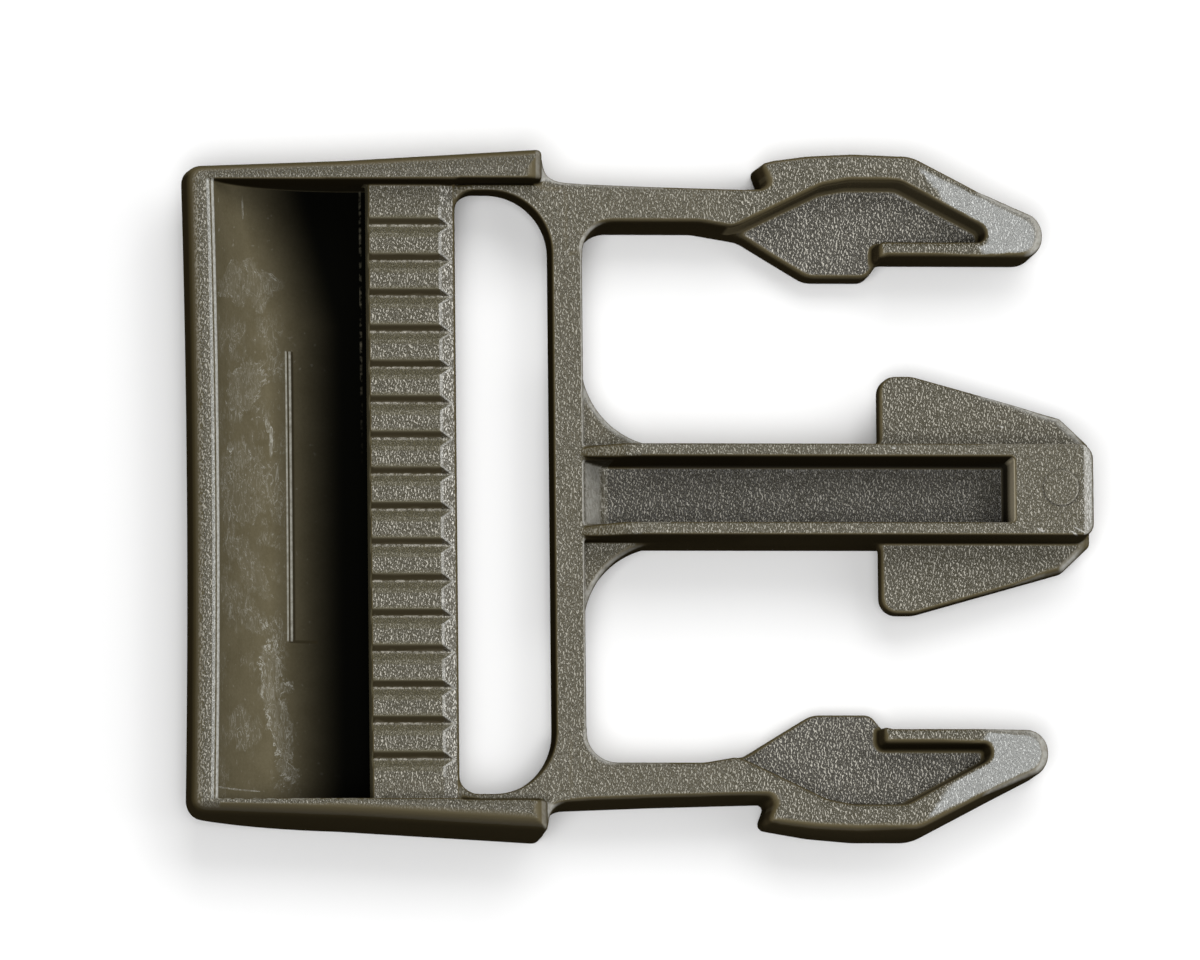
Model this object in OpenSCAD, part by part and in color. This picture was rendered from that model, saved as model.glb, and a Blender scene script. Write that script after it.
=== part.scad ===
// Plug half of a side release buckle: webbing frame, two sprung arms and a guide tongue, moulded in one.
// It lies on its front face (z = 0) with its strap side up. X runs from the strap end to the nose.

/* [Webbing passage] */
// Width of the webbing that the frame takes
webbing_w = 38; // [30:1:50]
// Free space beside the webbing, on each side
webbing_clearance = 0.85; // [0.4:0.05:1.5]
// Height of the passage between the shell and the toothed bar
passage_h = 2.1; // [1.5:0.1:3]

/* [Frame] */
// Thickness of the curved shell under the webbing
shell_t = 1.8; // [1.2:0.1:2.4]
// Height of the side walls, from the front face to their rims
rim_h = 8.2; // [7.6:0.1:11]
// Thickness of a side wall at the strap end
wall_t = 1.2; // [1:0.1:2]
// How much thicker a side wall is at its other end
wall_flare = 1.2; // [0.4:0.1:2]
// Thickness of the lip at the strap end
lip_t = 2.1; // [1.5:0.1:3]
// Width of the bevel along the lip's inner edge
lip_bevel = 0.5; // [0.2:0.05:0.8]
// Height of the lip's lower edge above the front face
lip_lift = 4.6; // [2:0.1:5]
// Length over which the front face curves up to the lip
front_curve_l = 9.5; // [7:0.5:11]
// Length of the open trough between the lip and the toothed bar
trough_l = 9.8; // [8:0.1:14]
// Rounding of the frame's upper edges
rim_r = 1; // [0.4:0.1:1.1]
// Rounding of the frame's corners at the strap end, seen from above
frame_corner_r = 1.3; // [0.6:0.1:2]
// Rounding of the free ends of the side walls
wall_end_r = 0.9; // [0.4:0.1:1.1]
// How far the side walls end before the far side of the crossbar
wall_setback = 2.9; // [2.2:0.1:4]

/* [Toothed bar] */
// Length of the bar along the buckle
bar_l = 5.9; // [4.5:0.1:8]
// Thickness of the bar
bar_t = 2; // [1.6:0.1:3]
// Length of the bevel on the slot side of the bar
bar_bevel_l = 1; // [0.5:0.1:1.4]
// Drop of that bevel
bar_bevel_h = 0.6; // [0.3:0.1:1]
// Number of grooves across the bar
groove_n = 16; // [8:1:17]
// Distance between grooves
groove_pitch = 2.29; // [1.7:0.01:2.3]
// Width of a groove at its mouth
groove_w = 1; // [0.6:0.05:1.3]
// Depth of a groove
groove_d = 0.45; // [0.2:0.05:0.7]

/* [Slot and crossbar] */
// Length of the through slot along the buckle
slot_l = 6.2; // [5:0.1:9]
// Corner radius of the slot beside the toothed bar
slot_bar_r = 1.3; // [0.6:0.1:2]
// Corner radius of the slot beside the crossbar
slot_cross_r = 3.7; // [2:0.1:4]
// Length of the crossbar along the buckle
crossbar_l = 2.2; // [1.8:0.1:4]
// Thickness of the crossbar
crossbar_t = 2.8; // [2:0.1:3.8]
// Bevel on the far edge of the crossbar
crossbar_bevel = 0.4; // [0.2:0.05:0.6]

/* [Arms] */
// Length of an arm from the crossbar to its tip
arm_l = 30.1; // [28:0.1:38]
// Width of an arm's beam
arm_w = 2.8; // [2.2:0.1:3.4]
// How much narrower the beam gets towards its head
arm_taper = 0.35; // [0:0.05:0.6]
// How far the arm's outer face stands inside the side wall's
arm_inset = 2; // [1.4:0.1:2.6]
// Radius of the fillets at the inner side of an arm's root
arm_root_r = 1.7; // [1:0.1:2.5]
// Radius of the fillet between an arm and the side wall's end
arm_shoulder_r = 1.3; // [0.8:0.1:1.5]

/* [Arm heads] */
// Length of a head from its catch face to its tip
head_l = 18.8; // [16:0.1:22]
// Height of the catch face beyond the beam
hook_h = 1.6; // [1:0.1:2.2]
// Lean of the catch face back over the beam
hook_lean = 0.5; // [0:0.05:0.8]
// Rise of the head's back beyond the hook
crown_h = 0.8; // [0.3:0.1:1.4]
// Length of the head's back before its insertion ramp
crown_l = 9.6; // [7:0.1:11]
// Slope of the insertion ramp in degrees
ramp_angle = 25.4; // [20:0.2:30]
// How far the head's inner edge stands inside the beam's
head_inner = 2.2; // [1:0.1:3]
// How far the bulge of the web stands inside the beam's inner face
bulge_h = 3.3; // [2.4:0.1:4]
// Length of the bulge's flat crest
bulge_l = 3.8; // [2:0.1:5]
// Thickness of the web that closes the head
web_t = 2.8; // [1.5:0.1:3.6]
// Width of the raised rim along the head's back
rim_w = 2; // [1.4:0.1:2.6]
// Width of the raised rib along the head's inner edge
inner_rib_w = 1.1; // [0.7:0.1:1.6]
// How far the head stands back under that rib
rib_undercut = 0.4; // [0.2:0.05:0.7]
// Length of solid tip beyond the pocket
tip_l = 4.1; // [3:0.1:6]
// Rounding of the tip
tip_r = 1.2; // [0.6:0.1:1.4]
// Slope of the bevel on the tip in degrees
tip_bevel_angle = 9; // [4:0.5:12]
// Length of that bevel along the arm's back
tip_bevel_l = 8.9; // [6:0.1:11]
// Turn of the line on which the bevel hinges, from straight across the arm, in degrees
tip_bevel_turn = 36.6; // [20:0.2:45]

/* [Guide tongue] */
// Length of the tongue beyond the crossbar
tongue_l = 32.8; // [28:0.1:40]
// Width of the tongue
tongue_w = 6.4; // [5.4:0.1:9]
// Height of the tongue's ribs above the front face
tongue_h = 7.9; // [7:0.1:9]
// Thickness of a rib
rib_t = 1; // [0.7:0.05:1.4]
// Height of the floor between the ribs
floor_h = 2.6; // [1.5:0.1:4]
// Length of the solid block at the nose
nose_l = 5.5; // [4:0.1:8]
// Bevel on the nose
nose_bevel = 0.9; // [0.4:0.1:1.4]
// Length over which the ribs rise from the crossbar
rib_rise_l = 3.2; // [2:0.1:5]
// Length of the ramp from the crossbar down to the floor
floor_ramp_l = 1.5; // [1:0.1:2.5]

/* [Wings] */
// Width over both wings
wing_span = 15.3; // [12:0.1:22]
// Length of the wings, ending at the nose
wing_l = 13.7; // [10:0.1:18]
// Thickness of a wing
wing_t = 1.8; // [1.2:0.1:2.6]
// Height of a wing's lower face above the front face
wing_z = 2.2; // [1:0.1:3.4]
// Height at which the two wings' long edges meet the nose, out from the tongue's side
wing_nose_h = 1.7; // [0.8:0.1:2.4]
// Rounding of the wings' corners
wing_r = 0.9; // [0.4:0.1:1.2]

/* [Gussets] */
// Radius of the curved plates between the tongue and the crossbar
gusset_r = 5.4; // [3:0.1:7]
// Height of the plates' upper face
gusset_top = 4.2; // [3.6:0.1:5]
// Thickness of the plates
gusset_t = 2.7; // [2:0.1:3.4]

/* [Hidden] */

$fn = 64;
olive = [0.27, 0.26, 0.2];
// Overlap that lets a cut run clear of a face, or a join run into its neighbour
lap = 0.5;
// Height of the arms, the crossbar and the toothed bar
deck_h = shell_t + passage_h + bar_t;
deck_low = deck_h - crossbar_t;
inner_half = webbing_w / 2 + webbing_clearance;
bar_x = lip_t + trough_l;
slot_x = bar_x + bar_l;
cross_x = slot_x + slot_l;
root_x = cross_x + crossbar_l;
frame_l = root_x - wall_setback;
end_half = inner_half + wall_t;
far_half = end_half + wall_flare;
tip_x = root_x + arm_l;
catch_x = tip_x - head_l;
nose_x = root_x + tongue_l;
overall_l = nose_x;
// Half widths at the arms
arm_out = far_half - arm_inset;
arm_in = arm_out - arm_w;
// Half widths at the heads
arm_back = arm_out - arm_taper;
crest = arm_back + hook_h + crown_h;
head_edge = arm_in - head_inner;
bulge_y = arm_in - bulge_h;
// Where the back of a head bends
back_x1 = catch_x + crown_l * 0.35;
back_x2 = catch_x + crown_l * 0.75;
// Where the bulge ends, the inner rib starts beside the pocket, and the head's inner edge starts
bulge_x = catch_x + crown_l * 0.73;
rib_x = catch_x + crown_l * 0.8;
edge_x = catch_x + crown_l * 0.84;
// Length over which a beam widens into its bulge: a gentle start, then the slope
lead_l = 2.7;
lead_drop = 0.7;
slope_l = 0.9;
// How far the parts at the crossbar run into it
root_lap = 1.2;
// Rounding of the tongue's and the heads' edges, seen from above
tongue_r = 0.6;
head_r = 0.4;
pocket_r = 0.35;

// Outline rounded by r_out at its outer corners and by r_in at its inner ones
module rounded(r_out, r_in) {
    offset(r = -r_in) offset(r = r_in + r_out) offset(r = -r_out) children();
}

module both_sides() {
    children();
    mirror([0, 1, 0]) children();
}

// Plate between two heights
module plate(low, high) {
    translate([0, 0, low]) linear_extrude(high - low) children();
}

// Bar of an outline in the XZ plane, from y = -half to y = half
module side_bar(half) {
    translate([0, half, 0]) rotate([90, 0, 0]) linear_extrude(2 * half) children();
}

// Radius of the arc that is level at its far end and rises by h over the length l
function arc_r(l, h) = (l * l + h * h) / (2 * h);

module frame_plan() {
    taper = atan(wall_flare / frame_l);
    difference() {
        polygon([
            [0, end_half], [frame_l, far_half],
            [frame_l, -far_half], [0, -end_half],
        ]);
        both_sides() {
            round_corner([0, end_half], 0, frame_corner_r);
            translate([frame_l, far_half]) rotate(taper) mirror([1, 0])
                round_corner([0, 0], 0, wall_end_r);
        }
    }
}

// What rounding takes off an upper left corner at the point p
module round_corner(p, turn, r) {
    translate(p) rotate(turn) difference() {
        translate([-lap, -r]) square([r + lap, r + lap]);
        translate([r, -r]) circle(r);
    }
}

module frame_side() {
    difference() {
        square([frame_l, rim_h]);
        difference() {
            translate([-lap, -lap]) square([front_curve_l + lap, lip_lift + lap]);
            translate([front_curve_l, arc_r(front_curve_l, lip_lift)])
                circle(arc_r(front_curve_l, lip_lift), $fn = 160);
        }
        round_corner([0, rim_h], 0, rim_r);
    }
}

// Space for the webbing, seen from the side: over the shell and under the bar
module passage_side() {
    curve_top = rim_h - lip_bevel;
    curve_l = trough_l - lap;
    r = arc_r(curve_l, curve_top - shell_t);
    difference() {
        translate([lip_t, shell_t]) square([cross_x - lip_t, rim_h]);
        difference() {
            translate([lip_t - lap, shell_t - lap]) square([curve_l + lap, curve_top - shell_t + lap]);
            translate([lip_t + curve_l, shell_t + r]) circle(r, $fn = 160);
        }
    }
    polygon([
        [lip_t - lip_bevel, rim_h], [lip_t - lip_bevel, rim_h + lap],
        [lip_t + lap, rim_h + lap], [lip_t + lap, curve_top], [lip_t, curve_top],
    ]);
}

// Rounding of a side wall's outer upper edge
module rim_rounding() {
    taper = atan(wall_flare / frame_l);
    translate([0, end_half, rim_h]) rotate([0, 0, taper]) rotate([90, 0, 90])
        translate([0, 0, -lap]) linear_extrude(frame_l + 2 * lap) mirror([1, 0])
            round_corner([0, 0], 0, rim_r);
}

module slot_plan() {
    hull() {
        both_sides() {
            translate([slot_x + slot_bar_r, inner_half - slot_bar_r]) circle(slot_bar_r);
            translate([cross_x - slot_cross_r, inner_half - slot_cross_r]) circle(slot_cross_r);
        }
    }
}

// Side walls, lip and curved shell
module frame() {
    difference() {
        intersection() {
            plate(0, rim_h) frame_plan();
            side_bar(far_half) frame_side();
        }
        side_bar(inner_half) passage_side();
        translate([slot_x, -inner_half, -lap]) cube([frame_l, 2 * inner_half, rim_h + 2 * lap]);
        both_sides() rim_rounding();
    }
}

// Bar that grips the webbing, bevelled towards the slot and grooved along the buckle
module toothed_bar() {
    difference() {
        side_bar(inner_half + wall_t / 2) polygon([
            [bar_x, deck_h - bar_t], [bar_x, deck_h], [slot_x - bar_bevel_l, deck_h],
            [slot_x, deck_h - bar_bevel_h], [slot_x, deck_h - bar_t],
        ]);
        for (i = [0 : groove_n - 1])
            translate([bar_x - lap, (i - (groove_n - 1) / 2) * groove_pitch, deck_h])
                rotate([90, 0, 90]) linear_extrude(bar_l + 2 * lap) polygon([
                    [-groove_w / 2 - lap, lap], [-groove_w / 2, 0], [0, -groove_d],
                    [groove_w / 2, 0], [groove_w / 2 + lap, lap],
                ]);
    }
}

// Deck around the slot, with the crossbar as its far side
module deck() {
    difference() {
        plate(deck_low, deck_h) difference() {
            translate([slot_x, -arm_out]) square([root_x - slot_x, 2 * arm_out]);
            slot_plan();
        }
        side_bar(arm_in - arm_root_r) polygon([
            [root_x - crossbar_bevel, deck_h + lap], [root_x - crossbar_bevel, deck_h],
            [root_x, deck_h - crossbar_bevel], [root_x + lap, deck_h - crossbar_bevel],
            [root_x + lap, deck_h + lap],
        ]);
    }
}

// Outline of one arm with its head, from above
module arm_plan() {
    ramp_drop = (head_l - crown_l) * tan(ramp_angle);
    ramp_end = crest - ramp_drop;
    rounded(head_r, head_r) polygon([
        [root_x - root_lap, arm_out], [catch_x - 1, arm_back], [catch_x + hook_lean, arm_back],
        [catch_x, arm_back + hook_h], [back_x1, crest - crown_h * 0.55],
        [back_x2, crest], [catch_x + crown_l, crest],
        [tip_x - tip_r * 0.4, ramp_end + tip_r * 0.5], [tip_x, ramp_end - tip_r],
        [tip_x - tip_r * 0.4, head_edge + tip_r * 0.3], [tip_x - tip_r, head_edge],
        [edge_x, head_edge], [bulge_x, bulge_y], [bulge_x - bulge_l, bulge_y],
        [catch_x - slope_l, arm_in - lead_drop], [catch_x - slope_l - lead_l, arm_in],
        [root_x - root_lap, arm_in],
    ]);
}

// Pocket over the web, open towards the tongue beside the bulge
module head_pocket_plan() {
    back = crest - rim_w;
    edge = head_edge + inner_rib_w;
    near_x = catch_x - slope_l - lead_drop;
    far_x = tip_x - tip_l;
    rounded(pocket_r, pocket_r) polygon([
        [near_x, arm_in - lead_drop / 2], [catch_x + crown_l * 0.42, back - lead_drop / 2],
        [catch_x + crown_l * 0.6, back], [catch_x + crown_l * 0.95, back],
        [far_x, edge + inner_rib_w], [far_x, edge], [rib_x, edge],
        [rib_x, bulge_y - lap], [near_x, bulge_y - lap],
    ]);
}

// Upper bevel of a tip: a plane hinged on a slanting line across the head
module tip_bevel() {
    translate([tip_x - tip_bevel_l, arm_out, deck_h]) rotate([0, 0, tip_bevel_turn])
        rotate([0, tip_bevel_angle, 0]) translate([0, -head_l, 0])
            cube([head_l, 2 * head_l, deck_h]);
}

module arm() {
    difference() {
        plate(0, deck_h) arm_plan();
        plate(web_t, deck_h + lap) head_pocket_plan();
        plate(-lap, web_t) translate([edge_x, head_edge - lap])
            square([tip_x - edge_x, rib_undercut + lap]);
        tip_bevel();
    }
    // Root block with its fillets
    plate(0, deck_h) difference() {
        translate([cross_x, arm_in - arm_root_r])
            square([crossbar_l + arm_root_r, arm_out - arm_in + arm_root_r]);
        translate([root_x + arm_root_r, arm_in - arm_root_r]) circle(arm_root_r);
    }
    plate(0, deck_h) difference() {
        translate([frame_l - lap, arm_out - lap])
            square([arm_shoulder_r + lap, arm_shoulder_r + lap]);
        translate([frame_l + arm_shoulder_r, arm_out + arm_shoulder_r]) circle(arm_shoulder_r);
    }
}

module tongue_side() {
    bevel_x = root_x - crossbar_bevel;
    polygon([
        [root_x - root_lap, 0], [root_x - root_lap, deck_low], [bevel_x, deck_low],
        [bevel_x, deck_h], [bevel_x + rib_rise_l, tongue_h],
        [nose_x - nose_bevel, tongue_h], [nose_x, tongue_h - nose_bevel], [nose_x, 0],
    ]);
}

// Channel between the ribs, with the ramp at its root
module channel_side() {
    ramp_x = root_x - crossbar_bevel;
    polygon([
        [ramp_x, tongue_h + lap], [ramp_x, deck_h], [ramp_x + floor_ramp_l, floor_h],
        [nose_x - nose_l, floor_h], [nose_x - nose_l, tongue_h + lap],
    ]);
}

// Outer form of the tongue, before the channel is cut
module tongue_block() {
    intersection() {
        side_bar(tongue_w / 2) tongue_side();
        plate(0, tongue_h) rounded(tongue_r, 0) translate([cross_x, -tongue_w / 2])
            square([nose_x - cross_x, tongue_w]);
    }
}

module wings() {
    half = wing_span / 2;
    nose_half = tongue_w / 2 + wing_nose_h;
    plate(wing_z, wing_z + wing_t) rounded(wing_r, wing_r) both_sides() polygon([
        [nose_x - wing_l, 0], [nose_x - wing_l, half],
        [nose_x - wing_l * 0.82, half], [nose_x - wing_l * 0.13, nose_half],
        [nose_x - nose_bevel / 3, tongue_w / 2], [nose_x - nose_bevel / 3, 0],
    ]);
}

module gussets() {
    plate(gusset_top - gusset_t, gusset_top) both_sides() difference() {
        translate([root_x - root_lap, 0])
            square([root_lap + gusset_r, tongue_w / 2 + gusset_r]);
        translate([root_x + gusset_r, tongue_w / 2 + gusset_r]) circle(gusset_r, $fn = 120);
    }
}

// Central guide: two ribs on a floor, closed by a solid nose, with its wings and gussets
module tongue() {
    difference() {
        union() {
            tongue_block();
            wings();
            gussets();
        }
        side_bar(tongue_w / 2 - rib_t) channel_side();
    }
}

module buckle_plug() {
    color(olive) translate([-overall_l / 2, 0, 0]) {
        frame();
        toothed_bar();
        deck();
        both_sides() arm();
        tongue();
    }
}

buckle_plug();
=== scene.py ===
import math

import bpy
import numpy as np
from mathutils import Matrix, Vector


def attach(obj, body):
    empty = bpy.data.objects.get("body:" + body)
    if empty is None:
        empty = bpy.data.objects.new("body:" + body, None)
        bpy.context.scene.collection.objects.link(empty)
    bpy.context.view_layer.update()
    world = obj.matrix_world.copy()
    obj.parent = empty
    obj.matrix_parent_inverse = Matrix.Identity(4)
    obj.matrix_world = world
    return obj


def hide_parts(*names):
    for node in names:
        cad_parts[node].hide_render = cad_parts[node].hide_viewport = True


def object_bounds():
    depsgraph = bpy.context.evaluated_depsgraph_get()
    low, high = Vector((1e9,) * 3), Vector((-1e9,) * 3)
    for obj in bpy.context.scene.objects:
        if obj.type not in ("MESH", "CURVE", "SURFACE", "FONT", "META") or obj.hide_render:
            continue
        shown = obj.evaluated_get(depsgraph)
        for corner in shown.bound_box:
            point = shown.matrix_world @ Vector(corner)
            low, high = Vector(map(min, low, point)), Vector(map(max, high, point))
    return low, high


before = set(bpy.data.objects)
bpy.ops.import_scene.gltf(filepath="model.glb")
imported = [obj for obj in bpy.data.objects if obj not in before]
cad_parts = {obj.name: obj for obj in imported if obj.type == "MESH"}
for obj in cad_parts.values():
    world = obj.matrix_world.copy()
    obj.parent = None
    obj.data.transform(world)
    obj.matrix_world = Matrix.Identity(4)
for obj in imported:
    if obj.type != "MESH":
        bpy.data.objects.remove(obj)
cad_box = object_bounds()

MM = 0.001

# Sizes in millimetres, as in the part; X starts at the lip and Y at the middle
FRAME_L, END_HALF, FAR_HALF, INNER_HALF = 23.55, 21.05, 22.25, 19.85
RIM_H, SHELL_T, DECK_H, DECK_LOW = 8.2, 1.8, 5.9, 3.1
LIP_T, LIP_BEVEL, LIP_LIFT, FRONT_CURVE_L, TROUGH_L = 2.0, 0.5, 4.6, 9.5, 9.8
# The lip bows out in its middle, fully up to one x and not at all from the other
LIP_BOW, BOW_FULL_X, BOW_NONE_X = 0.25, 4, 9
BAR_X, BAR_T, BAR_BEVEL_L, BAR_BEVEL_H = 12.15, 2.0, 1.0, 0.6
GROOVE_N, GROOVE_PITCH, GROOVE_W, GROOVE_D = 16, 2.29, 1.0, 0.45
SLOT_X, CROSS_X, ROOT_X = 17.8, 24.0, 26.2
SLOT_BAR_R, SLOT_CROSS_R, SLOT_HALF = 1.3, 4.0, 19.4
ARM_OUT, ARM_IN, ARM_BACK = 20.25, 17.45, 19.74
TIP_X, CATCH_X, HOOK_H, HOOK_LEAN, CREST = 56.0, 37.5, 1.6, 0.5, 22.3
CROWN_L, HEAD_EDGE, BULGE_Y, BULGE_L = 9.6, 15.2, 14.15, 3.8
WEB_T, INNER_RIB_W, RIM_W, TIP_L, TIP_OUT, TIP_R = 2.8, 1.1, 2.0, 3.8, 17.75, 1.6
# Bevel on the tips: the turn of its hinge line, its slope, and where the hinge lies back from the tip and in
TIP_TURN, TIP_SLOPE, TIP_BEVEL_L, TIP_BEVEL_IN = math.radians(36.6), math.radians(9), 8.6, 0.2
TONGUE_HALF, TONGUE_H, FLOOR_H = 3.26, 7.9, 2.6
CHANNEL_HALF, CHANNEL_DRAFT = 2.1, 0.028
NOSE_X, NOSE_L, NOSE_BEVEL = 59.0, 5.5, 0.9
RING_X, RING_Y, RING_R = 56.54, 0.13, 1.18
WING_HALF, WING_L, WING_T, WING_Z, WING_NOSE_H = 7.65, 13.7, 1.8, 2.2, 1.7
GUSSET_R, GUSSET_LOW, GUSSET_TOP = 5.4, 1.5, 4.2
# Low ridge across the trough: its x, half width, height and half length
RIDGE_X, RIDGE_W, RIDGE_H, RIDGE_Y = 7.3, 0.17, 0.16, 9.3
# Draft of the mould: how much a side leans in for each millimetre of height
DRAFT = math.tan(math.radians(2.2))
HEAD_DRAFT = math.tan(math.radians(4))

# The grain's depth, and how much a face that looks to the top light gains from it
GRAIN_DEPTH = 0.12
TOP_LIGHT = 0.35

# Grid of the distance field
STEP = 0.125
PAD = 3 * STEP
MAX_TRIANGLES = 190000


def filleted(points, segments=8):
    """Outline whose corners (x, y, radius) are rounded with arcs; radius 0 stays sharp."""
    out = []
    count = len(points)
    for i, (x, y, r) in enumerate(points):
        p = np.array([x, y], float)
        if r <= 0:
            out.append(p)
            continue
        a = np.array(points[i - 1][:2], float) - p
        b = np.array(points[(i + 1) % count][:2], float) - p
        a, b = a / np.linalg.norm(a), b / np.linalg.norm(b)
        half = math.acos(max(-1.0, min(1.0, float(a @ b)))) / 2
        cut = r / math.tan(half)
        centre = p + (a + b) / np.linalg.norm(a + b) * (r / math.sin(half))
        start, end = p + a * cut - centre, p + b * cut - centre
        a0 = math.atan2(start[1], start[0])
        turn = (math.atan2(end[1], end[0]) - a0 + math.pi) % (2 * math.pi) - math.pi
        for k in range(segments + 1):
            t = a0 + turn * k / segments
            out.append(centre + r * np.array([math.cos(t), math.sin(t)]))
    return np.array(out)


def outline_distance(points, u, v):
    """Signed distance to a closed outline, negative inside, over the grid of u and v."""
    best = np.full(np.broadcast(u, v).shape, 1e9, np.float32)
    inside = np.zeros(best.shape, bool)
    for (ax, ay), (bx, by) in zip(points, np.roll(points, -1, axis=0)):
        ex, ey = bx - ax, by - ay
        length = ex * ex + ey * ey
        if length < 1e-12:
            continue
        t = np.clip(((u - ax) * ex + (v - ay) * ey) / length, 0, 1)
        best = np.minimum(best, (u - ax - t * ex) ** 2 + (v - ay - t * ey) ** 2)
        crosses = (ay > v) != (by > v)
        if ay != by:
            inside ^= crosses & (u < ax + (v - ay) * ex / ey)
    return (np.sqrt(best) * np.where(inside, -1, 1)).astype(np.float32)


def meet(a, b, r=0.0):
    """Intersection, its edge rounded by r."""
    if np.isscalar(r) and r <= 0:
        return np.maximum(a, b)
    return np.minimum(np.maximum(a + r, b + r), 0) + np.hypot(np.maximum(a + r, 0), np.maximum(b + r, 0)) - r


def join(a, b, r=0.0):
    """Union, its corner filled with a fillet of r."""
    return -meet(-a, -b, r)


def cut(a, b, r=0.0):
    """What is left of a without b, its edge rounded by r."""
    return meet(a, -b, r)


def arc(cx, cy, r, start, end, count=24):
    """Points of an arc between two angles in degrees."""
    angles = np.radians(np.linspace(start, end, count))
    return [(cx + r * math.cos(t), cy + r * math.sin(t), 0) for t in angles]


def arc_radius(length, height):
    """Radius of the arc that is level at one end and rises by height over length."""
    return (length * length + height * height) / (2 * height)


def frame_field(X, Y, Z):
    """Side walls, lip and curved shell around the passage for the webbing, with the low ridge."""
    X = X - LIP_BOW * (1 - (Y / END_HALF) ** 2) * np.clip((BOW_NONE_X - X) / (BOW_NONE_X - BOW_FULL_X), 0, 1)
    plan = outline_distance(filleted([
        (0, -5, 0), (0, END_HALF, 1.3), (10.5, END_HALF + 0.4, 20), (FRAME_L, FAR_HALF, 0.6), (FRAME_L, -5, 0)]), X, Y)
    r = arc_radius(FRONT_CURVE_L, LIP_LIFT)
    start = math.degrees(math.asin((r - LIP_LIFT) / r))
    side = outline_distance(filleted(
        [(-3, 12, 0)] + arc(FRONT_CURVE_L, r, r, 180 + start - 12, 270) + [(40, 0, 0), (40, 12, 0)]), X, Z)
    solid = meet(plan + DRAFT * Z, Z - RIM_H, 1.4)
    solid = meet(solid, side, 0.5)

    curve_l = TROUGH_L - 0.5
    top = RIM_H - LIP_BEVEL
    r = arc_radius(curve_l, top - SHELL_T)
    start = math.degrees(math.asin((r - top + SHELL_T) / r))
    passage = outline_distance(filleted(
        [(LIP_T - LIP_BEVEL - 4, RIM_H + 4, 0), (LIP_T, top, 0)]
        + arc(LIP_T + curve_l, SHELL_T + r, r, 180 + start, 270)
        + [(60, SHELL_T, 0), (60, RIM_H + 4, 0)]), X, Z)
    solid = cut(solid, meet(passage, Y - INNER_HALF + DRAFT * (RIM_H - Z) * 0.3, 0.1), 0.3)
    slot_side = meet(SLOT_X - X, Y - INNER_HALF, 0.1)
    ridge = RIDGE_H * np.exp(-((X - RIDGE_X) / RIDGE_W) ** 2) * np.clip((RIDGE_Y - Y) / 0.2, 0, 1)
    solid = solid - np.where(Z > SHELL_T - 0.3, ridge, 0)
    return cut(solid, slot_side, 0.3)


def bar_field(X, Y, Z):
    """Toothed bar, bevelled towards the slot."""
    place = Y / GROOVE_PITCH - 0.5
    off = np.abs(place - np.round(place)) * GROOVE_PITCH
    depth = np.clip(GROOVE_D * (1 - off / (GROOVE_W / 2)), 0, None)
    depth = np.where(Y < GROOVE_PITCH * GROOVE_N / 2, depth, 0)
    bevel = DECK_H - (X - SLOT_X + BAR_BEVEL_L) * (BAR_BEVEL_H / BAR_BEVEL_L)
    top = Z - np.minimum(DECK_H - depth, bevel)
    solid = meet(meet(BAR_X - X, X - SLOT_X, 0.1), top, 0.12)
    solid = meet(solid, DECK_H - BAR_T - Z, 0.3)
    return meet(solid, Y - INNER_HALF - 0.5)


def deck_field(X, Y, Z):
    """Deck around the slot, with the crossbar."""
    plan = outline_distance(filleted([
        (SLOT_X - 0.6, -5, 0), (SLOT_X - 0.6, ARM_OUT - 0.2, 0), (ROOT_X, ARM_OUT - 0.2, 0), (ROOT_X, -5, 0)]), X, Y)
    slot = outline_distance(filleted([
        (SLOT_X, -5, 0), (SLOT_X, SLOT_HALF, SLOT_BAR_R),
        (CROSS_X, SLOT_HALF, SLOT_CROSS_R), (CROSS_X, -5, 0)], 16), X, Y)
    solid = cut(plan + DRAFT * Z, slot + 0.02 * (DECK_H - Z), 0)
    right = meet(X - ROOT_X, Z - DECK_H, 0.5)
    low_corner = DECK_H - BAR_BEVEL_H * (1 - np.clip(np.abs(X - SLOT_X) / (SLOT_BAR_R - 0.1), 0, 1))
    solid = meet(meet(solid, right), Z - low_corner, 0.42)
    return meet(solid, DECK_LOW - Z, 0.3)


def arm_outline():
    """One arm in plan: beam, hook, head, tip and the web's bulge."""
    inner = ARM_IN - 0.28
    return filleted([
        (FRAME_L - 0.8, ARM_OUT + 1.35, 0), (FRAME_L, ARM_OUT + 1.35, 0), (FRAME_L, ARM_OUT - 0.05, 1.4),
        (CATCH_X - 7, ARM_BACK + 0.2, 20), (CATCH_X + HOOK_LEAN, ARM_BACK, 0.3),
        (CATCH_X - 0.1, ARM_BACK + HOOK_H, 0.45),
        (CATCH_X + 3.2, CREST - 0.37, 8), (CATCH_X + 6.1, CREST - 0.1, 8), (CATCH_X + 9.95, CREST - 0.08, 3),
        (TIP_X, TIP_OUT, TIP_R), (TIP_X, HEAD_EDGE - 0.03, 1.5),
        (CATCH_X + 0.84 * CROWN_L, HEAD_EDGE - 0.03, 0.5), (CATCH_X + 0.755 * CROWN_L, BULGE_Y - 0.1, 0.8),
        (CATCH_X + 0.75 * CROWN_L - BULGE_L, BULGE_Y - 0.1, 1.8),
        (CATCH_X - 0.9, ARM_IN - 0.8, 2), (CATCH_X - 3.9, inner, 3),
        (ROOT_X, inner, 1.8), (ROOT_X, ARM_IN - 2.4, 0), (CROSS_X + 0.6, ARM_IN - 2.4, 0.4),
        (CROSS_X + 0.6, INNER_HALF - 0.5, 0), (FRAME_L - 0.8, INNER_HALF - 0.5, 0)])


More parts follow.
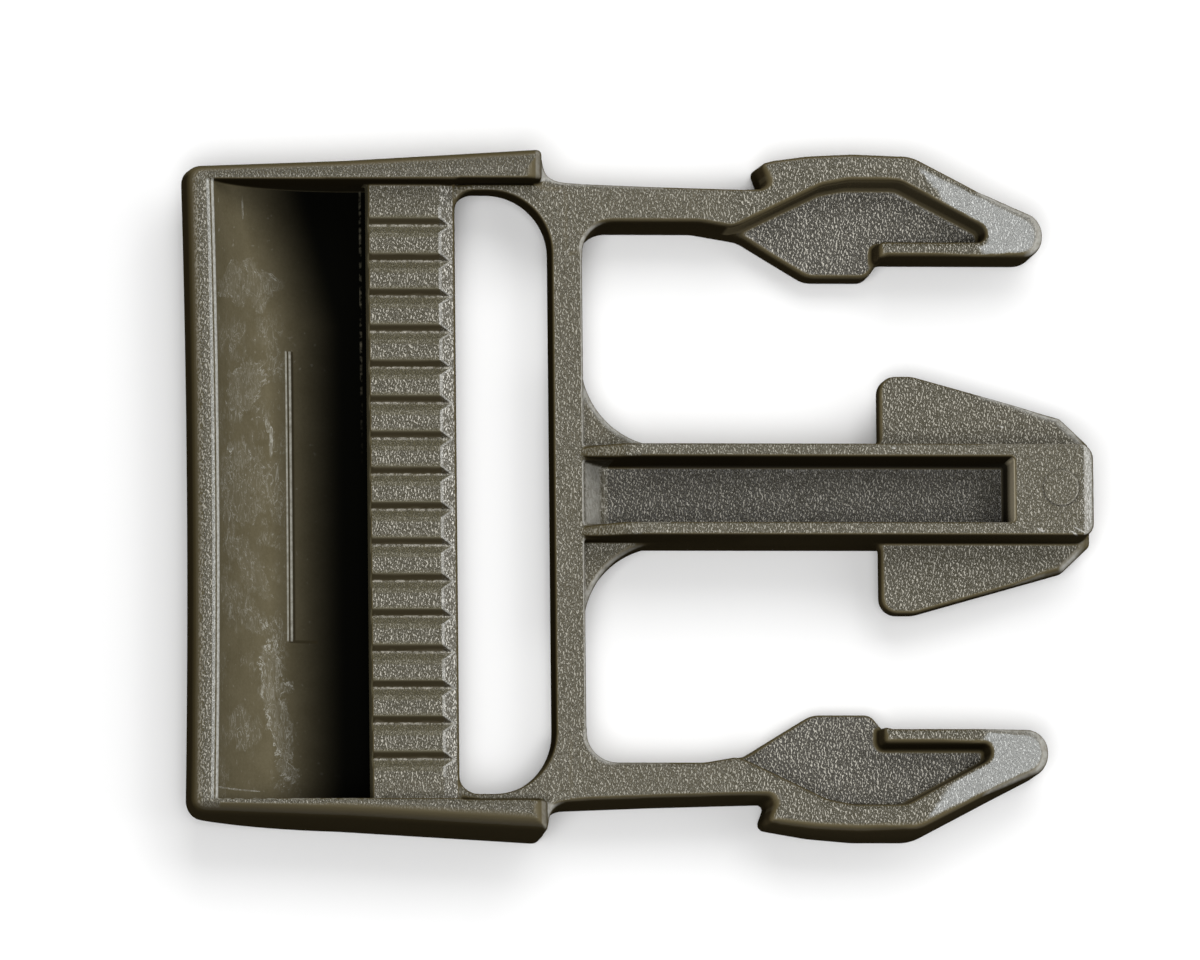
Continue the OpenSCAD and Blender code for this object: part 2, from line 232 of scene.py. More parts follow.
def pocket_outline():
    """The head's pocket in plan, open towards the middle."""
    far_x = TIP_X - TIP_L
    rib_y = HEAD_EDGE + INNER_RIB_W - 0.1
    return filleted([
        (CATCH_X - 1.9, ARM_IN - 0.55, 1.2), (CATCH_X + 0.42 * CROWN_L, CREST - RIM_W - 0.55, 2),
        (CATCH_X + 0.6 * CROWN_L, CREST - RIM_W - 0.22, 2), (CATCH_X + 0.95 * CROWN_L, CREST - RIM_W - 0.22, 1.5),
        (far_x - 0.1, HEAD_EDGE + 2.0, 0.7), (far_x, rib_y, 0.5),
        (CATCH_X + 0.8 * CROWN_L, rib_y, 0.35), (CATCH_X + 0.8 * CROWN_L, 5, 0), (CATCH_X - 1.9, 5, 0)])


def arm_field(X, Y, Z):
    """One arm with its pocket and the bevel on its tip, which is hinged on a slanting line."""
    plan = outline_distance(arm_outline(), X, Y)
    head = np.clip((X - CATCH_X + 1) / 2, 0, 1)
    outer = np.clip((Y - 18) / 1.5, 0, 1)
    lean = DRAFT * (1 - 0.75 * head) + HEAD_DRAFT * outer * np.clip((X - CATCH_X - 1) / 8, 0, 1)
    solid = plan + lean * Z
    solid = meet(solid, Z - DECK_H, 0.42 + 0.3 * head * outer)
    solid = meet(solid, -Z, 0.45)
    pocket = outline_distance(pocket_outline(), X, Y) + 0.03 * (DECK_H - Z)
    solid = cut(solid, meet(pocket, WEB_T - Z, 0.4), 0.48)
    along = (X - TIP_X + TIP_BEVEL_L) * math.cos(TIP_TURN) + (Y - ARM_OUT + TIP_BEVEL_IN) * math.sin(TIP_TURN)
    bevel = along * math.sin(TIP_SLOPE) + (Z - DECK_H) * math.cos(TIP_SLOPE)
    return meet(solid, bevel, 0.25 + 0.35 * np.clip((X - 51) / 3, 0, 1))


def tongue_field(X, Y, Z):
    """Guide tongue, still without its channel."""
    bevel_x = ROOT_X - 0.4
    side = outline_distance(filleted([
        (CROSS_X + 1.2, 0, 0.3), (CROSS_X + 1.2, DECK_LOW + 1, 0),
        (bevel_x, DECK_LOW + 1, 0), (bevel_x - 0.3, DECK_H - 0.2, 0),
        (bevel_x + 2.9, TONGUE_H, 2), (NOSE_X - NOSE_BEVEL, TONGUE_H, 0.3),
        (NOSE_X, TONGUE_H - NOSE_BEVEL * 1.2, 0.4), (NOSE_X, 0, 0.5)]), X, Z)
    plan = outline_distance(filleted([
        (0, -9, 0), (0, TONGUE_HALF, 0), (NOSE_X + 0.05, TONGUE_HALF, 1.2), (NOSE_X + 0.05, -9, 0)]), X, Y)
    solid = meet(plan + DRAFT * Z, side, 0.2)
    # The ribs' ends on the crossbar are pointed like bullets
    middle = (TONGUE_HALF + CHANNEL_HALF) / 2 - 0.12
    grown = np.clip((X - bevel_x + 0.75) / 2.8, 0.0005, None)
    narrow = np.abs(Y - middle) - 0.56 * np.sqrt(np.minimum(grown, 1)) - 2 * np.maximum(grown - 1, 0)
    return meet(solid, join(narrow, Z - DECK_H + 0.1, 0.1), 0.2)


def channel_field(X, Y, Z):
    """Channel between the tongue's ribs, with its ramp."""
    bevel_x = ROOT_X - 0.4
    channel = outline_distance(filleted([
        (bevel_x - 0.1, TONGUE_H + 3, 0), (bevel_x - 0.1, DECK_H, 0), (bevel_x + 1.5, FLOOR_H + 0.5, 0.1),
        (bevel_x + 1.8, FLOOR_H, 0.1), (NOSE_X - NOSE_L, FLOOR_H, 0.2),
        (NOSE_X - NOSE_L + 0.02, TONGUE_H + 3, 0)]), X, Z)
    width = Y - CHANNEL_HALF + CHANNEL_DRAFT * (TONGUE_H - Z)
    return meet(channel, width, 0.2)


def wing_field(X, Y, Z):
    """Wing beside the tongue's end."""
    nose_half = TONGUE_HALF + WING_NOSE_H
    plan = outline_distance(filleted([
        (NOSE_X - WING_L - 3, -3, 0), (NOSE_X - WING_L - 3, TONGUE_HALF - 0.6, 0),
        (NOSE_X - WING_L, TONGUE_HALF - 0.08, 0.55),
        (NOSE_X - WING_L, WING_HALF + 0.05, 1.1), (NOSE_X - 0.84 * WING_L, WING_HALF + 0.05, 2.2),
        (NOSE_X - 1.9, nose_half + 0.05, 0.6), (NOSE_X - 0.05, TONGUE_HALF, 0.4), (NOSE_X - 0.05, -3, 0)]), X, Y)
    solid = meet(plan, Z - WING_Z - WING_T, 0.35 + 0.35 * np.clip((X - 54) / 2, 0, 1))
    return meet(solid, WING_Z - Z, 0.35)


def gusset_field(X, Y, Z):
    """Curved gusset between the tongue and the crossbar."""
    plan = outline_distance(filleted([
        (CROSS_X + 1.2, -3, 0), (CROSS_X + 1.2, TONGUE_HALF + GUSSET_R + 3, 0),
        (ROOT_X, TONGUE_HALF + GUSSET_R + 3, 0), (ROOT_X, TONGUE_HALF, GUSSET_R),
        (ROOT_X + GUSSET_R + 3, TONGUE_HALF, 0), (ROOT_X + GUSSET_R + 3, -3, 0)], 24), X, Y)
    solid = meet(plan + DRAFT * Z, Z - GUSSET_TOP, 0.5)
    solid = meet(solid, Y - TONGUE_HALF - GUSSET_R)
    return meet(solid, GUSSET_LOW - Z, 0.35)


def plug_field(x, y, z):
    """Distance field of the whole moulding on the grid lines x, y, z in millimetres."""
    X, Y, Z = (a.astype(np.float32) for a in (x[:, None, None], y[None, :, None], z[None, None, :]))
    field = join(frame_field(X, Y, Z), bar_field(X, Y, Z), 0.1)
    at_wall_end = 0.4 * np.clip((X - FRAME_L + 0.6) / 0.6, 0, 1)
    field = join(field, deck_field(X, Y, Z), 0.12 + at_wall_end)
    field = join(field, arm_field(X, Y, Z), 0.08 + at_wall_end * np.clip((26 - X) / 2, 0, 1))
    tongue = join(tongue_field(X, Y, Z), wing_field(X, Y, Z), 0.15)
    tongue = join(tongue, gusset_field(X, Y, Z), 0.1)
    return join(field, cut(tongue, channel_field(X, Y, Z), 0.2), 0.12)


def surface(field, origin, step):
    """Mesh of the field's zero level: one vertex in each cell that it crosses, one quad for each crossed edge."""
    inside = field < 0
    nx, ny, nz = (n - 1 for n in field.shape)
    corners = [(i, j, k) for i in (0, 1) for j in (0, 1) for k in (0, 1)]
    total = np.zeros((nx, ny, nz), np.int8)
    for i, j, k in corners:
        total += inside[i:i + nx, j:j + ny, k:k + nz]
    cells = np.argwhere((total > 0) & (total < 8))
    index = np.full((nx, ny, nz), -1, np.int64)
    index[tuple(cells.T)] = np.arange(len(cells))
    values = np.stack([field[tuple((cells + c).T)] for c in np.array(corners)], 1).astype(np.float64)
    where = np.array(corners, float)
    place = np.zeros((len(cells), 3))
    hits = np.zeros(len(cells))
    for a in range(8):
        for b in range(a + 1, 8):
            if np.abs(where[a] - where[b]).sum() != 1:
                continue
            mask = (values[:, a] < 0) != (values[:, b] < 0)
            t = values[mask, a] / (values[mask, a] - values[mask, b])
            place[mask] += where[a] + t[:, None] * (where[b] - where[a])
            hits[mask] += 1
    points = (cells + place / hits[:, None]) * step + origin
    quads = []
    for axis in range(3):
        u, v = (axis + 1) % 3, (axis + 2) % 3
        ahead = np.roll(inside, -1, axis)
        crossed = inside != ahead
        span = [slice(1, -1)] * 3
        grid = np.zeros_like(crossed)
        grid[tuple(span)] = crossed[tuple(span)]
        edges = np.argwhere(grid)
        ring = []
        for du, dv in ((0, 0), (-1, 0), (-1, -1), (0, -1)):
            cell = edges.copy()
            cell[:, u] += du
            cell[:, v] += dv
            ring.append(index[tuple(cell.T)])
        ring = np.stack(ring, 1)
        flip = ~inside[tuple(edges.T)]
        ring[flip] = ring[flip][:, ::-1]
        quads.append(ring)
    return points, np.concatenate(quads)


def plug_mesh():
    """Mesh of the moulding, from the field of one half and its mirror image."""
    low = np.array([-PAD, 0.0, -PAD])
    high = np.array([NOSE_X + PAD, FAR_HALF + 0.3 + PAD, RIM_H + PAD])
    x, y, z = (np.arange(a, b + STEP, STEP) for a, b in zip(low, high))
    half = plug_field(x, y, z)
    field = np.concatenate([half[:, :0:-1], half], axis=1)
    origin = np.array([x[0], -y[-1], z[0]])
    points, quads = surface(field, origin, STEP)
    points[:, 0] -= NOSE_X / 2
    mesh = bpy.data.meshes.new("plug_moulding")
    mesh.vertices.add(len(points))
    mesh.vertices.foreach_set("co", (points * MM).ravel())
    mesh.loops.add(quads.size)
    mesh.loops.foreach_set("vertex_index", quads.ravel().astype(np.int32))
    mesh.polygons.add(len(quads))
    mesh.polygons.foreach_set("loop_start", np.arange(0, quads.size, 4, dtype=np.int32))
    mesh.polygons.foreach_set("loop_total", np.full(len(quads), 4, np.int32))
    mesh.update(calc_edges=True)
    mesh.validate()
    return mesh


def reduce(piece, most):
    """Fewer triangles where the surface is flat."""
    triangles = 2 * len(piece.data.polygons)
    if triangles <= most:
        return
    modifier = piece.modifiers.new("fewer", "DECIMATE")
    modifier.ratio = most / triangles
    graph = bpy.context.evaluated_depsgraph_get()
    mesh = bpy.data.meshes.new_from_object(piece.evaluated_get(graph))
    piece.modifiers.clear()
    piece.data = mesh


def keep_in(piece, box):
    """Draws in the few points that stand out of the CAD box."""
    low, high = (np.array(c) for c in box)
    mesh = piece.data
    points = np.empty(3 * len(mesh.vertices))
    mesh.vertices.foreach_get("co", points)
    points = np.clip(points.reshape(-1, 3), low, high)
    mesh.vertices.foreach_set("co", points.ravel())
    mesh.update()


class Nodes:
    """Short calls that add nodes to a new material and link them."""

    def __init__(self, name):
        self.material = bpy.data.materials.new(name)
        self.material.use_nodes = True
        self.tree = self.material.node_tree
        self.tree.nodes.clear()

    def add(self, kind, inputs=None, **settings):
        node = self.tree.nodes.new(kind)
        for key, value in settings.items():
            setattr(node, key, value)
        for key, value in (inputs or {}).items():
            self.set(node.inputs[key], value)
        return node

    def set(self, socket, value):
        if isinstance(value, bpy.types.NodeSocket):
            self.tree.links.new(value, socket)
        else:
            socket.default_value = value

    def math(self, operation, *values):
        node = self.add("ShaderNodeMath", operation=operation)
        for socket, value in zip(node.inputs, values):
            self.set(socket, value)
        return node.outputs[0]

    def product(self, first, *others):
        for value in others:
            first = self.math("MULTIPLY", first, value)
        return first

    def most(self, first, *others):
        for value in others:
            first = self.math("MAXIMUM", first, value)
        return first

    def scaled(self, value, factor, offset):
        return self.math("MULTIPLY_ADD", value, factor, offset)

    def less(self, value):
        return self.math("SUBTRACT", 1.0, value)

    def distance(self, dx, dy):
        return self.math("SQRT", self.math("ADD", self.product(dx, dx), self.product(dy, dy)))

    def ramp(self, value, zero, one):
        """0 at zero and 1 at one, clamped."""
        return self.add("ShaderNodeMapRange", {"Value": value, "From Min": zero, "From Max": one}).outputs["Result"]

    def band(self, value, low, high, soft):
        """1 between low and high, fading over soft outside them."""
        return self.product(self.ramp(value, low - soft, low), self.ramp(value, high + soft, high))

    def mix(self, factor, a, b):
        """From a to b, which are sockets or red, green and blue values."""
        node = self.add("ShaderNodeMix", data_type="RGBA")
        for key, value in (("Factor", factor), ("A", a), ("B", b)):
            self.set(node.inputs[key], (*value, 1) if isinstance(value, tuple) else value)
        return node.outputs["Result"]

    def noise(self, vector, scale, detail=2.0, rough=0.5, distort=0.0):
        node = self.add("ShaderNodeTexNoise", {
            "Vector": vector, "Scale": scale, "Detail": detail, "Roughness": rough, "Distortion": distort})
        return node.outputs["Fac"]

    def noise_ramp(self, scale, zero, one, detail=2.0, rough=0.6):
        """Patches of noise over the surface, sharpened between two levels."""
        return self.ramp(self.noise(self.place, scale, detail, rough), zero, one)


class PlugNodes(Nodes):
    """The plug's material, with the places and masks that its marks share. Places are in millimetres."""

    def __init__(self):
        super().__init__("olive_moulding")
        self.place = self.add("ShaderNodeTexCoord").outputs["Object"]
        split = self.add("ShaderNodeSeparateXYZ", {"Vector": self.place}).outputs
        self.y = self.math("MULTIPLY", split["Y"], 1 / MM)
        self.half = self.math("ABSOLUTE", self.y)
        self.z = self.math("MULTIPLY", split["Z"], 1 / MM)
        # x counts from the lip, which bows out in its middle
        x = self.scaled(split["X"], 1 / MM, NOSE_X / 2)
        bow = self.scaled(self.product(self.y, self.y), -LIP_BOW / END_HALF ** 2, LIP_BOW)
        self.x = self.math("SUBTRACT", x, self.product(bow, self.ramp(x, BOW_NONE_X, BOW_FULL_X)))
        normal = self.add("ShaderNodeNewGeometry").outputs["Normal"]
        facing = self.add("ShaderNodeSeparateXYZ", {"Vector": normal}).outputs
        self.to_nose, self.to_top, self.up = facing["X"], facing["Y"], facing["Z"]
        self.grain = worm_grain(self)
        self.trough = trough_mask(self)
        self.bevel_rows = self.product(
            self.band(self.x, SLOT_X - BAR_BEVEL_L, SLOT_X - 0.15, 0.05), self.ramp(self.up, 0.70, 0.82))
        self.bevel = self.product(self.bevel_rows, self.band(self.z, 5.2, 6, 0.05))
        self.flat = flat_mask(self)

    def pebbles(self, power, dark, light):
        """Colour of the grain: painted shade in its valleys and painted glints on its ridges, fewer of them for a
        higher power.
        """
        return self.mix(self.math("POWER", self.grain, power), dark, light)


def worm_grain(n):
    """Moulded grain: worm-like ridges about 0.24 mm apart, lighter on the side towards the light."""
    turned = n.add("ShaderNodeMapping", {"Vector": n.place, "Rotation": (0.3, 0.2, -0.35), "Scale": (1.0, 1.7, 1.0)},
                   vector_type="TEXTURE").outputs[0]
    behind = n.add("ShaderNodeVectorMath", {0: turned, 1: (0.00004, 0.000028, 0.0)}, operation="ADD").outputs[0]
    height, height_behind = (n.noise(spot, 9000, 1, 0.4, 0.3) for spot in (turned, behind))
    slope = n.math("SUBTRACT", height, height_behind)
    return n.ramp(n.scaled(height, 1.1, n.math("MULTIPLY", slope, 2.9)), 0.27, 0.98)


def trough_mask(n):
    """1 on the smooth surface under the webbing, from the lip to below the bar."""
    open_part = n.band(n.x, LIP_T + 0.1, BAR_X - 0.1, 0.1)
    bar_low = DECK_H - BAR_T
    under_bar = n.product(n.band(n.x, BAR_X - 1, SLOT_X - 0.3, 0.1), n.ramp(n.z, bar_low + 0.4, bar_low))
    return n.product(n.most(open_part, under_bar), n.ramp(n.half, INNER_HALF - 0.03, INNER_HALF - 0.13))


def flat_mask(n):
    """1 on the faces with the grain: level ones, those turned to the top light and a few that slope."""
    level = n.ramp(n.scaled(n.most(n.to_top, 0.0), TOP_LIGHT, n.up), 0.90, 0.985)
    on_lip = n.ramp(n.x, 2.2, 2.0)
    on_rib_ends = n.product(
        n.band(n.x, CROSS_X + 1.2, ROOT_X + 3.2, 0.1), n.band(n.half, CHANNEL_HALF - 0.1, TONGUE_HALF, 0.1))
    sloping = n.product(n.ramp(n.up, 0.66, 0.88), n.most(on_lip, on_rib_ends))
    return n.most(n.product(n.most(level, sloping), n.less(n.trough)), n.bevel)


def pebbled_colour(n):
    """Colour of the faces with the grain, which is strong on the bar, the wings and the heads."""
    on_bar = n.product(
        n.band(n.x, BAR_X - 0.1, SLOT_X - BAR_BEVEL_L, 0.1), n.ramp(n.half, INNER_HALF - 0.8, INNER_HALF - 2))
    on_head = n.product(n.band(n.x, CATCH_X - 1, NOSE_X, 2), n.ramp(n.half, TONGUE_HALF - 0.1, TONGUE_HALF))
    gentle = n.pebbles(1.7, (0.096, 0.084, 0.049), (0.34, 0.321, 0.262))
    strong = n.pebbles(1.8, (0.070, 0.061, 0.033), (0.41, 0.388, 0.322))
    colour = n.mix(n.most(on_bar, on_head, n.bevel_rows), gentle, strong)

    on_lip = n.product(n.ramp(n.x, LIP_T - 0.3, LIP_T - 0.5), n.ramp(n.z, 5.5, 7.0))
    colour = n.mix(on_lip, colour, n.pebbles(1.4, (0.10, 0.088, 0.05), (0.50, 0.475, 0.40)))

    pocket = n.pebbles(1.6, (0.043, 0.038, 0.026), (0.44, 0.42, 0.36))
    channel = n.pebbles(1.5, (0.046, 0.042, 0.030), (0.35, 0.332, 0.283))
    recess = n.mix(n.ramp(n.half, CHANNEL_HALF + 0.5, CHANNEL_HALF), pocket, channel)
    colour = n.mix(n.ramp(n.z, WEB_T + 0.6, WEB_T + 0.2), colour, recess)

    rim = n.product(n.ramp(n.z, RIM_H - 1.0, RIM_H - 0.3), n.ramp(n.x, 26, 24), 0.3)
    colour = n.mix(rim, colour, (0.06, 0.052, 0.03))
    # Painted sheen on the bar's bevel, which faces the nose end
    on_bevel = n.pebbles(1.6, (0.15, 0.138, 0.105), (0.80, 0.775, 0.70))
    return n.mix(n.product(n.bevel, 0.8), colour, on_bevel)


def smooth_colour(n):
    """Colour of the faces without grain: painted shade on steep sides, a little lighter from the heads to the nose and
    on sides turned to the nose end or the top, and mottled in the trough.
    """
    on_heads = n.product(n.band(n.x, CATCH_X - 1, NOSE_X - 1, 0.5), n.ramp(n.z, 2.0, 4.0))
    # Painted shade: steep faces are near black, less so from the heads onwards and on faces turned to the lights
    steep = n.mix(on_heads, (0.02, 0.015, 0.007), (0.048, 0.037, 0.019))
    steep = n.mix(n.ramp(n.most(n.to_nose, n.to_top), 0.3, 0.7), steep, (0.08, 0.065, 0.034))
    colour = n.mix(n.ramp(n.up, 0.3, 0.95), steep, (0.105, 0.084, 0.038))
    fine = n.scaled(n.noise(n.place, 5200, 2, 0.7), 0.66, -0.36)
    mottled = n.scaled(n.noise(n.place, 520, 3, 0.6), 0.9, fine)
    return n.mix(n.trough, colour, n.mix(mottled, (0.098, 0.083, 0.047), (0.155, 0.134, 0.084)))


def teeth_edges(n, colour):
    """Painted shade on the flanks that face the lower side, the other flank plain olive, dotted painted highlights at
    the bottoms of the grooves and a broken painted highlight along the edge of the bevel.
    """
    end = GROOVE_PITCH * GROOVE_N / 2
    bar = n.product(n.band(n.x, BAR_X + 0.15, SLOT_X - 0.1, 0.05), n.band(n.z, 5.0, DECK_H + 0.1, 0.1),
                    n.band(n.y, -end, end, 0.02))
    # off counts from the nearest groove's bottom, and edge_x is where the bevel starts there
    turn = n.scaled(n.y, 1 / GROOVE_PITCH, -0.5)
    off = n.product(n.math("SUBTRACT", turn, n.math("ROUND", turn)), GROOVE_PITCH)
    near = n.math("ABSOLUTE", off)
    depth = n.most(n.scaled(near, -GROOVE_D / (GROOVE_W / 2), GROOVE_D), 0.0)
    edge_x = n.scaled(depth, BAR_BEVEL_L / BAR_BEVEL_H, SLOT_X - BAR_BEVEL_L)
    over = n.math("SUBTRACT", n.x, edge_x)
    before = n.product(bar, n.ramp(over, 0.05, 0.0))

    # Painted shade on the flank that faces the lower side
    flank = n.product(before, n.band(off, 0.05, 0.5, 0.03), 0.85)
    colour = n.mix(flank, colour, (0.046, 0.036, 0.016))
    plain = n.most(n.band(off, -0.72, -0.08, 0.14), n.band(off, 0.5, 0.6, 0.14))
    colour = n.mix(n.product(before, plain, 0.75), colour, (0.135, 0.121, 0.072))
    # Dotted painted highlights at the bottoms of the grooves
    dots = n.noise_ramp(3600, 0.42, 0.60, 1, 0.5)
    bottom = n.product(before, n.ramp(near, 0.10, 0.05), dots)
    colour = n.mix(bottom, colour, (0.33, 0.31, 0.255))
    # Broken painted highlight where the lands meet the bevel
    broken_highlight = n.product(bar, n.band(over, -0.08, 0.06, 0.06), n.scaled(dots, 0.4, 0.6))
    return n.mix(broken_highlight, colour, (0.56, 0.55, 0.505))


def ramp_wrinkles(n, colour):
    """Wrinkled ramp at the channel's start."""
    face = n.product(n.band(n.x, ROOT_X - 0.3, ROOT_X + 1.6, 0.1), n.ramp(n.half, CHANNEL_HALF, CHANNEL_HALF - 0.15))
    crease = n.math("ABSOLUTE", n.math("SUBTRACT", n.noise(n.place, 1500, 2, 0.5, 1.0), 0.5))
    wrinkled = n.scaled(n.ramp(crease, 0.05, 0.0), 0.8, n.product(n.grain, 0.35))
    return n.mix(face, colour, n.mix(wrinkled, (0.11, 0.10, 0.07), (0.50, 0.48, 0.42)))


def tip_shine(n, colour):
    """Painted sheen: light bevels on the tips of the arms."""
    hinge = (TIP_X - TIP_BEVEL_L) * math.cos(TIP_TURN) + (ARM_OUT - TIP_BEVEL_IN) * math.sin(TIP_TURN)
    along = n.scaled(n.half, math.sin(TIP_TURN), n.scaled(n.x, math.cos(TIP_TURN), -hinge))
    ragged = n.scaled(n.noise(n.place, 1500, 3, 0.6), 0.8, -0.4)
    tip = n.product(n.ramp(n.math("ADD", along, ragged), 0.83, 1.08), n.ramp(n.up, 0.94, 0.98),
                    n.ramp(n.z, 4.0, 4.3), 0.9)
    return n.mix(tip, colour, n.pebbles(0.6, (0.37, 0.375, 0.36), (0.62, 0.635, 0.62)))


def lit_edges(n, colour):
    """Painted highlights on edges that face the nose end or the upper side, where they catch the light."""
    turned = n.scaled(n.most(n.to_top, 0.0), TOP_LIGHT, n.to_nose)
    facing = n.product(n.ramp(turned, 0.18, 0.42), n.ramp(n.up, 0.30, 0.55))
    near_slot = n.band(n.x, FRAME_L - 0.7, ROOT_X + 5, 0.1)
    near_tips = n.product(n.band(n.x, 52, NOSE_X, 0.5), n.ramp(n.x, 58.6, 58.0))
    on_wall_end = n.product(n.ramp(n.z, 6.3, 6.8), n.ramp(n.x, 26, 25))
    where = n.product(n.most(near_slot, near_tips), n.ramp(n.z, 3.0, 3.3), n.scaled(on_wall_end, -0.6, 1.0))
    # Painted highlights on these edges, broken up by noise
    scuffs_and_highlights = n.product(facing, where, n.noise(n.place, 2800, 2, 0.6), 1.6)
    return n.mix(scuffs_and_highlights, colour, (0.391, 0.383, 0.348))


def ejector_ring(n, colour):
    """Faint ring of an ejector pin on the nose: a dark line of painted shade, stronger on the lower side, with a
    painted highlight inside it, stronger towards the nose end.
    """
    dx, dy = n.math("SUBTRACT", n.x, RING_X), n.math("SUBTRACT", n.y, RING_Y)
    far = n.distance(dx, dy)
    lower = n.scaled(n.ramp(dy, RING_R, -RING_R), 0.5, 0.5)
    dark = n.product(n.band(far, RING_R - 0.05, RING_R + 0.03, 0.05), lower, 0.9)
    light = n.product(n.band(far, RING_R - 0.12, RING_R - 0.06, 0.04), n.ramp(dx, -0.8, RING_R), 0.8)
    return n.mix(light, n.mix(dark, colour, (0.043, 0.036, 0.02)), (0.36, 0.34, 0.28))


def nose_shine(n, colour):
    """Painted sheen on the bevel across the end of the nose."""
    start = NOSE_X - NOSE_BEVEL
    shine = n.product(n.ramp(n.scaled(n.grain, 0.25, n.x), start - 0.05, start + 0.4), n.ramp(n.up, 0.35, 0.65),
                      n.ramp(n.z, 6.4, 6.9), n.ramp(n.half, TONGUE_HALF, TONGUE_HALF - 0.4))
    return n.mix(shine, colour, n.mix(n.grain, (0.25, 0.243, 0.215), (0.62, 0.615, 0.58)))


# Nicks on the tongue and a wing: centre x and y, half length, lean; and their half width
NICKS = [
    (57.75, -2.62, 0.38, 0.5), (57.35, -2.80, 0.22, 0.6), (55.20, -2.62, 0.30, 0.45), (45.74, 2.66, 0.16, 0.0),
    (53.29, 4.43, 0.10, 0.3), (53.05, 4.50, 0.06, 0.0)]
NICK_W = 0.07


def nicks(n, colour):
    """Single light nicks with ragged rims."""
    ragged = n.scaled(n.noise(n.place, 2600, 2, 0.6), 1.2, -0.6)
    upper = n.ramp(n.z, 3.5, 3.7)
    for cx, cy, length, lean in NICKS:
        dx = n.math("SUBTRACT", n.x, cx)
        dy = n.scaled(dx, lean, n.math("SUBTRACT", n.y, cy))
        far = n.distance(n.math("DIVIDE", dx, length), n.math("DIVIDE", dy, NICK_W))
        mark = n.product(n.ramp(n.math("ADD", far, ragged), 1.1, 0.8), upper, 0.8)
        colour = n.mix(mark, colour, (0.60, 0.59, 0.55))
    return colour


def shaded_sides(n, colour):
    """Roundings that face the lip end or the lower side darken quickly."""
    away = n.product(n.math("MINIMUM", n.product(n.to_nose, 0.3), n.to_top), -1.0)
    start = n.scaled(n.ramp(n.x, CATCH_X - 1, CATCH_X), 0.15, 0.28)
    shade = n.product(n.ramp(away, start, 0.92), n.less(n.trough), 0.9)
    return n.mix(shade, colour, (0.018, 0.014, 0.007))


def pocket_walls(n, colour):
    """Walls of the heads' pockets that face the middle, painted in an even mid-olive shade."""
    inside = n.product(n.band(n.x, CATCH_X - 2, TIP_X - TIP_L + 0.3, 0.2),
                       n.band(n.half, HEAD_EDGE + 0.8, CREST - 1.9, 0.1),
                       n.band(n.z, WEB_T + 0.1, DECK_H - 0.3, 0.1))
    to_outside = n.product(n.to_top, n.math("SIGN", n.y))
    wall = n.product(inside, n.ramp(n.up, 0.9, 0.6), n.ramp(to_outside, -0.1, -0.3), 0.8)
    return n.mix(wall, colour, (0.085, 0.070, 0.040))


def channel_shade(n, colour):
    """The tongue's channel is darker near its end and its upper wall, and its end face catches the light."""
    end = NOSE_X - NOSE_L
    in_channel = n.ramp(n.half, CHANNEL_HALF, CHANNEL_HALF - 0.15)
    near_end = n.product(n.band(n.x, end - 0.1, end + 0.3, 2.0), n.ramp(n.z, 5.0, 4.0))
    near_wall = n.product(n.ramp(n.y, 0.0, 2.5), n.ramp(n.z, 3.6, 3.0), n.ramp(n.x, 29, 31))
    colour = n.mix(n.product(n.most(near_end, near_wall), in_channel, 0.75), colour, (0.035, 0.031, 0.022))
    face = n.product(n.band(n.x, end - 0.15, end + 0.3, 0.05), in_channel, n.ramp(n.up, 0.7, 0.4),
                     n.ramp(n.z, 4.4, 6.3))
    return n.mix(face, colour, (0.62, 0.55, 0.39))


# Scuffs in the trough: centre x and y, half sizes across and along the lip, lean, strength
SCUFFS = [
    (4.6, 13.6, 2.0, 1.2, 0.0, 0.34), (3.6, 10.2, 0.7, 0.8, -0.3, 0.2), (4.1, 6.6, 1.2, 1.9, -0.35, 0.34),
    (3.6, 2.6, 0.9, 1.1, 0.2, 0.38), (2.9, 2.9, 0.3, 0.5, 0.0, 0.6), (3.6, -0.5, 1.1, 1.4, 0.3, 0.28),
    (4.6, -4.8, 0.8, 1.6, 0.5, 0.2), (4.3, -8.2, 0.9, 1.3, 0.6, 0.22), (6.2, -13.6, 0.9, 4.6, 0.16, 0.5),
    (5.9, 3.3, 0.14, 1.0, -0.05, 1.3), (5.7, 4.6, 0.14, 0.5, 0.1, 0.7), (4.15, 18.4, 0.05, 0.75, 0.0, 1.0),
    (3.6, -19.1, 1.3, 0.05, 0.0, 1.3)]


def scuff_mask(n):
    """Rubbed patches: ellipses with ragged rims, filled with fine streaks, and a wide patch of hair lines."""
    ragged = n.scaled(n.noise(n.place, 360, 5, 0.75, 0.4), 4.0, -2.0)
    filled = rims = 0.0
    for cx, cy, rx, ry, lean, strength in SCUFFS:
        dy = n.math("SUBTRACT", n.y, cy)
        across = n.math("DIVIDE", n.scaled(dy, lean, n.math("SUBTRACT", n.x, cx)), rx)
        far = n.math("ADD", n.distance(across, n.math("DIVIDE", dy, ry)), ragged)
        filled = n.most(filled, n.product(n.ramp(far, 1.15, 0.85), strength))
        rims = n.most(rims, n.product(n.band(far, 0.93, 0.97, 0.05), strength))
    streaks = n.add("ShaderNodeVectorMath", {0: n.place, 1: (1.0, 0.35, 1.0)}, operation="MULTIPLY").outputs[0]
    fine = n.scaled(n.noise(streaks, 6500, 3, 0.7), 1.05, -0.315)
    hair = n.math("ABSOLUTE", n.math("SUBTRACT", n.noise(streaks, 2300, 3, 0.6, 1.2), 0.5))
    filled = n.product(filled, n.scaled(n.ramp(hair, 0.025, 0.003), 1.1, fine))
    rims = n.product(rims, n.noise_ramp(1400, 0.45, 0.6), 2.2)
    marks = n.math("MINIMUM", n.most(filled, rims), 1.0)
    wide = n.product(n.band(n.x, 2.6, 6.3, 0.9), n.band(n.y, -19, 10, 2), n.noise_ramp(330, 0.47, 0.56, 3, 0.65))
    hair_lines = n.product(n.ramp(hair, 0.022, 0.004), wide, 0.7)
    return n.most(marks, hair_lines, n.product(wide, 0.05))


